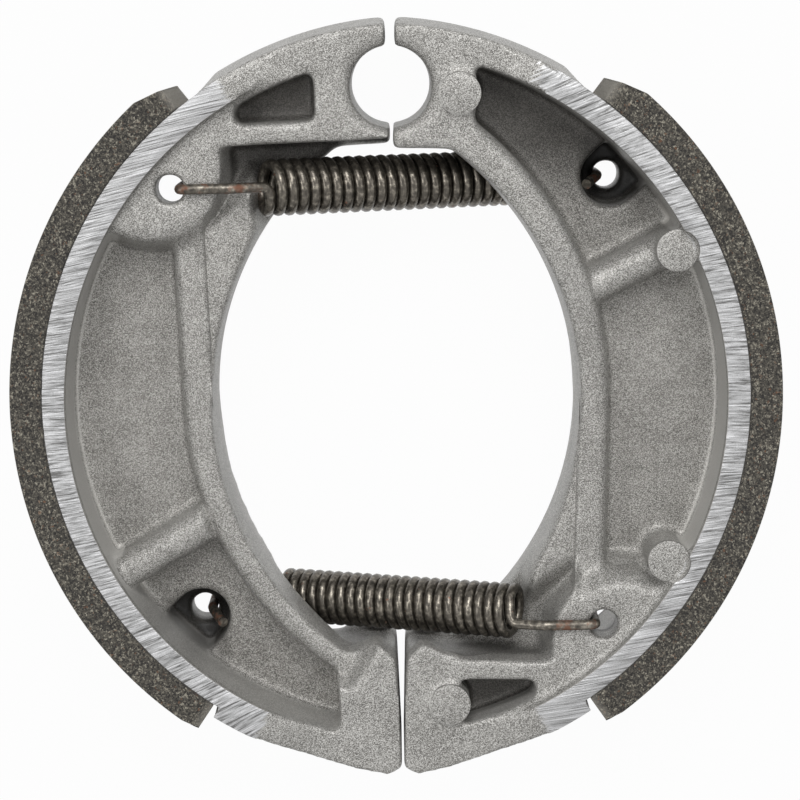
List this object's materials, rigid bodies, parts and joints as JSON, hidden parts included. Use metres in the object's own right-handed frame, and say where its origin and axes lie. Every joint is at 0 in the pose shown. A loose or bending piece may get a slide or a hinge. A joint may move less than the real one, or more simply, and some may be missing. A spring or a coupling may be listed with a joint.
{
  "type": "drum_brake_shoe_pair",
  "caption": "Pair of die-cast aluminium drum brake shoes with bonded linings, ground rim edges and coiled return springs hooked between them",
  "frame": {"origin": "centre of the anchor pin's bore, half way through the shoes' width", "axes": "Z along the anchor pin's bore, towards the viewer of the picture; Y from the cam ends to the anchor end; X to the right, across the two shoes"},
  "size_m": [0.105, 0.1046, 0.025],
  "materials": {
    "casting": "shot-blasted die casting, ground bright along the rim's edges",
    "friction": "moulded brake lining, dark grey-brown with fine specks",
    "spring_wire": "dark oiled spring steel with a little rust on the hooks"
  },
  "bodies": {
    "left": {"left_shoe": "casting", "left_lining": "friction", "upper_spring": "spring_wire", "lower_spring": "spring_wire"},
    "right": {"right_shoe": "casting", "right_lining": "friction"}
  },
  "joints": [
    {"name": "anchor_hinge", "type": "hinge", "parent": "left", "child": "right", "pos_m": [0, 0, 0], "axis": [0, 0, 1], "range_deg": [0, 6], "stiffness_Nm_per_rad": 40, "springref_deg": -3.44, "deforming": ["upper_spring", "lower_spring"]}
  ]
}
